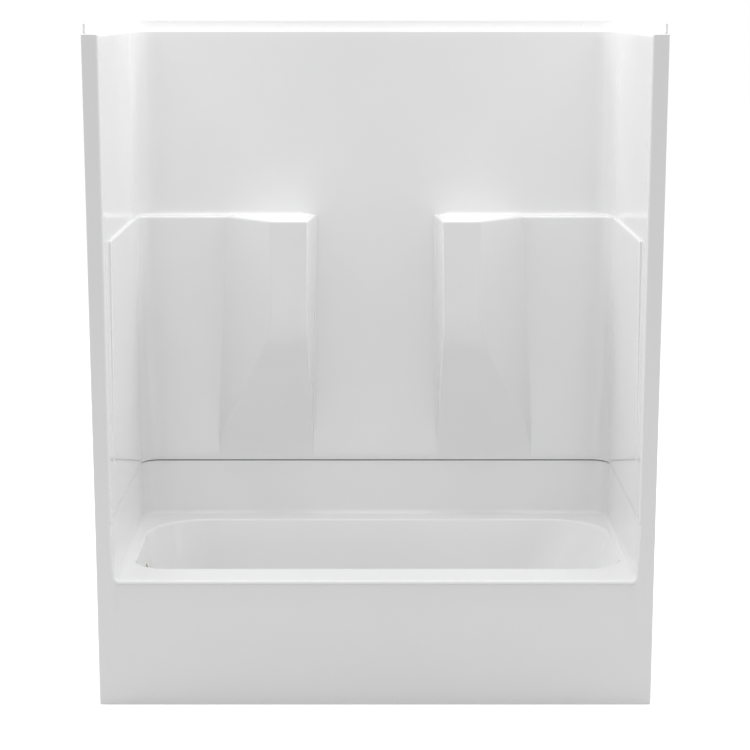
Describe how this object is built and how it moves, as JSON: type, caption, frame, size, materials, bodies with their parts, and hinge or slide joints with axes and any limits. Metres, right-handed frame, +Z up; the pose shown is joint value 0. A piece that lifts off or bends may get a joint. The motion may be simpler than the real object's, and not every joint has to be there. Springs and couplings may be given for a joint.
{
  "type": "tub and shower unit",
  "caption": "Moulded alcove tub and shower with a plain apron, a rounded basin, a level seam, side ledges and shelves standing proud of the back wall.",
  "frame": {"origin": "on the floor, in the middle of the unit's width and depth", "axes": "+Z up, -Y out of the open front, +X to the right of someone facing the open front"},
  "size_m": [1.524, 0.762, 1.854],
  "materials": {
    "gelcoat": "glossy white gelcoat, sprayed in a polished mould",
    "glass_laminate": "chopped glass strand in resin, rolled by hand",
    "strand_board": "pressed strand board, sealed with resin",
    "softwood": "planed softwood",
    "zinc_steel": "zinc plated",
    "gasket_foam": "closed-cell foam strip"
  },
  "bodies": {
    "root": {"apron_board": "strand_board", "apron_post_1": "softwood", "apron_post_2": "softwood", "apron_post_3": "softwood", "apron_sill": "softwood", "back_batten_left": "softwood", "back_batten_right": "softwood", "back_deck_rail": "softwood", "back_rib_lower": "softwood", "back_rib_middle": "softwood", "back_rib_upper": "softwood", "column_batten_left": "softwood", "column_batten_right": "softwood", "column_post_left": "softwood", "column_post_right": "softwood", "deck_leg_back_left": "softwood", "deck_leg_back_right": "softwood", "deck_leg_front_left": "softwood", "deck_leg_front_right": "softwood", "drain_block_back": "softwood", "drain_block_front": "softwood", "drain_pad": "glass_laminate", "floor_bearer_1": "softwood", "floor_bearer_2": "softwood", "floor_bearer_3": "softwood", "floor_bearer_4": "softwood", "front_deck_rail": "softwood", "overflow_pad": "glass_laminate", "seam_bolts": "zinc_steel", "seam_gasket": "gasket_foam", "seam_nuts": "zinc_steel", "seam_washers": "zinc_steel", "shelf_core_left": "softwood", "shelf_core_right": "softwood", "shower_arm_board": "strand_board", "side_batten_back_left": "softwood", "side_batten_back_right": "softwood", "side_batten_front_left": "softwood", "side_batten_front_right": "softwood", "tub_floor_board": "strand_board", "tub_shell": "gelcoat", "valve_board": "strand_board", "wall_surround": "gelcoat"}
  },
  "joints": []
}
